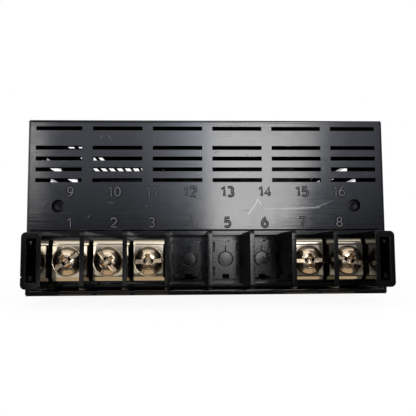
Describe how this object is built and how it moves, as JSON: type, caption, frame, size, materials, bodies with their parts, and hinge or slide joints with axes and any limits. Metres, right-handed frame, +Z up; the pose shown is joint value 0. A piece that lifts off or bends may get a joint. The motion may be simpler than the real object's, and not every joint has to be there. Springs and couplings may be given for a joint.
{
  "type": "digital panel ammeter",
  "caption": "Black panel meter with a vented rear case, a barrier block of screw terminals and a tinted display window in a rectangular bezel; it shows electric current.",
  "frame": {"origin": "middle of the underside of the bounding box, level with the bezel's lower edge", "axes": "+Y towards the display, -Y towards the terminals, +Z up, +X to the right seen from the terminal side"},
  "size_m": [0.096, 0.1204, 0.048],
  "materials": {
    "case_plastic": "black, semi-gloss, finely streaked",
    "block_plastic": "black, glossy on the barriers",
    "bezel_plastic": "black, fine matt",
    "window_tint": "red tinted filter",
    "board_laminate": "green solder mask",
    "black_nylon": "black",
    "pin_metal": "tinned",
    "core_steel": "varnished laminations",
    "bobbin_nylon": "natural",
    "winding_tape": "yellow tape over copper wire",
    "shunt_alloy": "resistance alloy strip",
    "chip_epoxy": "moulded epoxy",
    "capacitor_sleeve": "dark blue sleeve",
    "digit_plastic": "grey face, pale segments",
    "terminal_plate": "nickel plated",
    "clamp_plate": "nickel plated, satin",
    "screw_plate": "nickel plated"
  },
  "bodies": {
    "meter": {"case_body": "case_plastic", "terminal_block": "block_plastic", "front_bezel": "bezel_plastic", "front_window": "window_tint", "terminal_1": "terminal_plate", "terminal_2": "terminal_plate", "terminal_3": "terminal_plate", "terminal_7": "terminal_plate", "terminal_8": "terminal_plate", "main_board": "board_laminate", "display_board": "board_laminate", "digit_1": "digit_plastic", "digit_2": "digit_plastic", "digit_3": "digit_plastic", "digit_4": "digit_plastic", "board_header": "black_nylon", "header_pins": "pin_metal", "transformer_core": "core_steel", "transformer_bobbin": "bobbin_nylon", "transformer_winding": "winding_tape", "shunt_strip": "shunt_alloy", "converter_chip": "chip_epoxy", "converter_legs": "pin_metal", "filter_capacitor": "capacitor_sleeve", "smoothing_capacitor": "capacitor_sleeve", "bridge_rectifier": "chip_epoxy", "voltage_regulator": "chip_epoxy"},
    "clamp_1": {"clamp_washer_1": "clamp_plate"},
    "screw_1": {"terminal_screw_1": "screw_plate"},
    "clamp_2": {"clamp_washer_2": "clamp_plate"},
    "screw_2": {"terminal_screw_2": "screw_plate"},
    "clamp_3": {"clamp_washer_3": "clamp_plate"},
    "screw_3": {"terminal_screw_3": "screw_plate"},
    "clamp_7": {"clamp_washer_7": "clamp_plate"},
    "screw_7": {"terminal_screw_7": "screw_plate"},
    "clamp_8": {"clamp_washer_8": "clamp_plate"},
    "screw_8": {"terminal_screw_8": "screw_plate"}
  },
  "joints": [
    {"name": "clamp_slide_1", "type": "slide", "parent": "meter", "child": "clamp_1", "axis": [0, -1, 0], "range_m": [0, 0.003]},
    {"name": "screw_turn_1", "type": "hinge", "parent": "clamp_1", "child": "screw_1", "pos_m": [-0.03332, -0.05285, 0.0104], "axis": [0, -1, 0], "range_deg": [0, 1800]},
    {"name": "clamp_slide_2", "type": "slide", "parent": "meter", "child": "clamp_2", "axis": [0, -1, 0], "range_m": [0, 0.003]},
    {"name": "screw_turn_2", "type": "hinge", "parent": "clamp_2", "child": "screw_2", "pos_m": [-0.0238, -0.05285, 0.0104], "axis": [0, -1, 0], "range_deg": [0, 1800]},
    {"name": "clamp_slide_3", "type": "slide", "parent": "meter", "child": "clamp_3", "axis": [0, -1, 0], "range_m": [0, 0.003]},
    {"name": "screw_turn_3", "type": "hinge", "parent": "clamp_3", "child": "screw_3", "pos_m": [-0.01428, -0.05285, 0.0104], "axis": [0, -1, 0], "range_deg": [0, 1800]},
    {"name": "clamp_slide_7", "type": "slide", "parent": "meter", "child": "clamp_7", "axis": [0, -1, 0], "range_m": [0, 0.003]},
    {"name": "screw_turn_7", "type": "hinge", "parent": "clamp_7", "child": "screw_7", "pos_m": [0.0238, -0.05285, 0.0104], "axis": [0, -1, 0], "range_deg": [0, 1800]},
    {"name": "clamp_slide_8", "type": "slide", "parent": "meter", "child": "clamp_8", "axis": [0, -1, 0], "range_m": [0, 0.003]},
    {"name": "screw_turn_8", "type": "hinge", "parent": "clamp_8", "child": "screw_8", "pos_m": [0.03332, -0.05285, 0.0104], "axis": [0, -1, 0], "range_deg": [0, 1800]}
  ],
  "couplings": [
    {"joint": "screw_turn_1", "follows": "clamp_slide_1", "rad_per_m": 10472},
    {"joint": "screw_turn_2", "follows": "clamp_slide_2", "rad_per_m": 10472},
    {"joint": "screw_turn_3", "follows": "clamp_slide_3", "rad_per_m": 10472},
    {"joint": "screw_turn_7", "follows": "clamp_slide_7", "rad_per_m": 10472},
    {"joint": "screw_turn_8", "follows": "clamp_slide_8", "rad_per_m": 10472}
  ]
}
